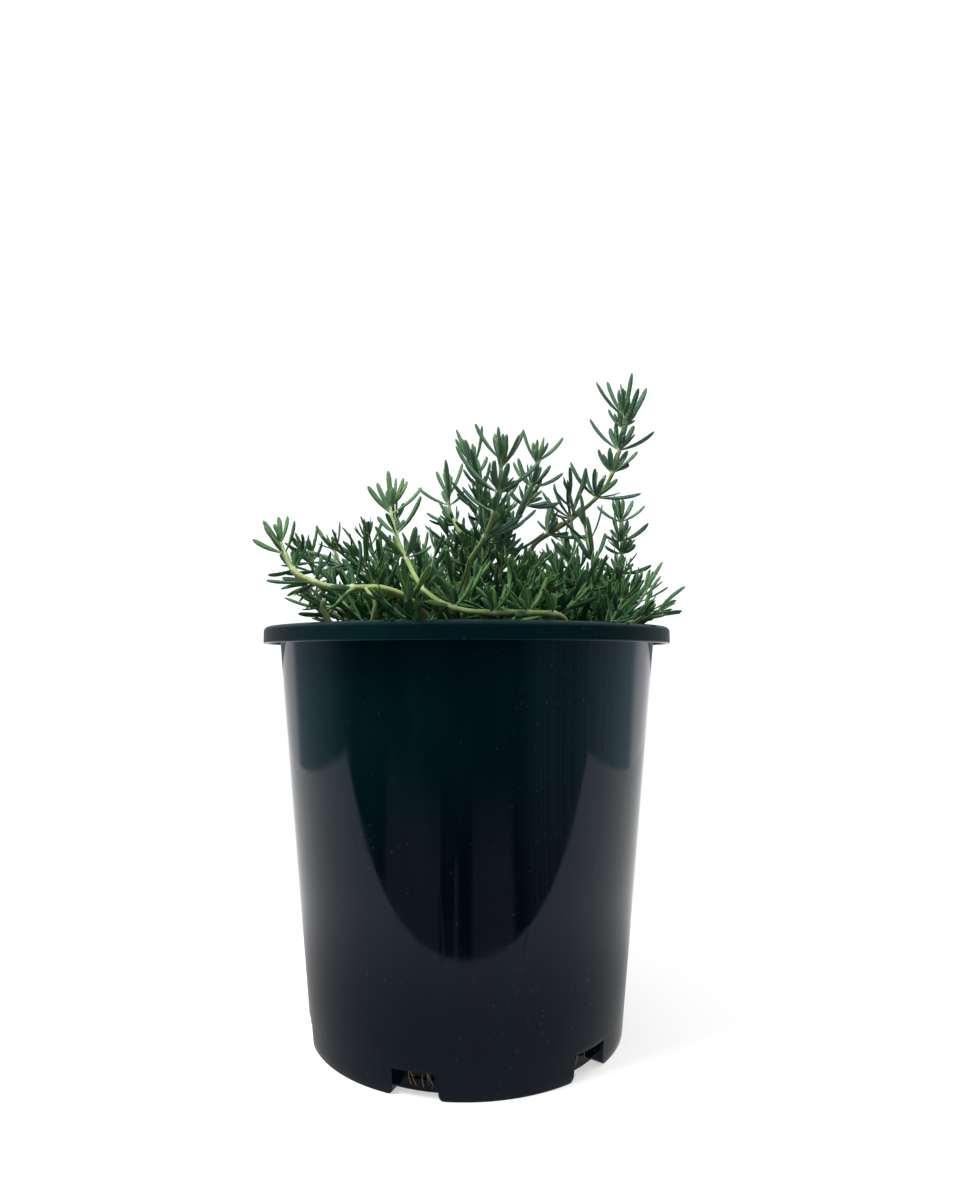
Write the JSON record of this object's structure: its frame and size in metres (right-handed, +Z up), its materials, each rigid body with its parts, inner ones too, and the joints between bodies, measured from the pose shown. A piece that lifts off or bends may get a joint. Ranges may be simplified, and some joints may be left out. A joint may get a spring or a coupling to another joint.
{
  "type": "potted creeping rosemary",
  "caption": "Semi-prostrate leafy herb with needle leaves on arching stems, rooted in potting mix in a tapered black nursery pot with a turned-down rim and notched base.",
  "frame": {"origin": "middle of the pot's foot, on the surface it stands on, on the pot's axis", "axes": "+Z up along the pot's axis; -Y is the pictured front; +X to the right in the picture"},
  "size_m": [0.2034, 0.2115, 0.3257],
  "materials": {
    "pot": "gloss",
    "mix": "rough, crumbly",
    "leafy_stem": "satin leaf"
  },
  "bodies": {
    "root": {"nursery_pot": "pot", "potting_mix": "mix", "stem_back_over": "leafy_stem", "stem_back_reach": "leafy_stem", "stem_back_right": "leafy_stem", "stem_back_tall": "leafy_stem", "stem_back_upright": "leafy_stem", "stem_centre_left": "leafy_stem", "stem_centre_right": "leafy_stem", "stem_centre_tall": "leafy_stem", "stem_front_arc": "leafy_stem", "stem_front_left": "leafy_stem", "stem_front_low": "leafy_stem", "stem_front_middle": "leafy_stem", "stem_front_right": "leafy_stem", "stem_left_back": "leafy_stem", "stem_left_dark": "leafy_stem", "stem_left_hidden": "leafy_stem", "stem_left_inner": "leafy_stem", "stem_left_low": "leafy_stem", "stem_left_mid": "leafy_stem", "stem_left_middle": "leafy_stem", "stem_left_reach": "leafy_stem", "stem_left_rear": "leafy_stem", "stem_left_side": "leafy_stem", "stem_middle_back": "leafy_stem", "stem_middle_left": "leafy_stem", "stem_right_front": "leafy_stem", "stem_right_inner": "leafy_stem", "stem_right_low": "leafy_stem", "stem_right_mid": "leafy_stem", "stem_right_over": "leafy_stem", "stem_right_rear": "leafy_stem", "stem_right_side": "leafy_stem", "stem_right_upright": "leafy_stem", "stem_tall_right": "leafy_stem"}
  },
  "joints": []
}
